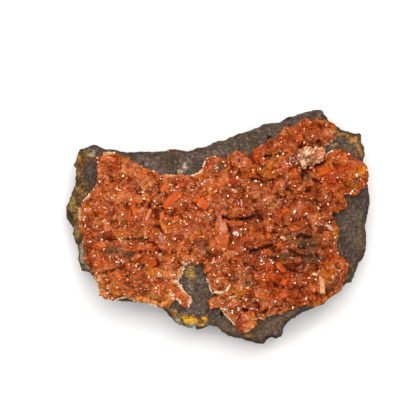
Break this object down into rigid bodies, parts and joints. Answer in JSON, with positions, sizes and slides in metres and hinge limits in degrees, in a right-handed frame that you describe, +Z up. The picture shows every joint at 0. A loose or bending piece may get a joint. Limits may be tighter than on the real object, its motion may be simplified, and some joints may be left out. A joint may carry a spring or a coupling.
{
  "type": "wulfenite on matrix specimen",
  "caption": "Flat broken slab of dark rock with a sheet of small orange-red tabular wulfenite crystals grown over most of its top and one pale calcite block, resting on its flat underside",
  "frame": {"origin": "middle of the specimen's bounding box, on the surface it rests on", "axes": "+X along the slab's length, +Y across it towards the pointed top right corner, +Z up out of the crystal side"},
  "size_m": [0.1214, 0.0938, 0.0299],
  "materials": {
    "matrix_rock": "rough broken rock with iron staining",
    "wulfenite": "resinous to adamantine crystal faces",
    "calcite": "sugary crystalline"
  },
  "bodies": {
    "root": {"matrix": "matrix_rock", "wulfenite_crust": "wulfenite", "calcite_block": "calcite"}
  },
  "joints": []
}
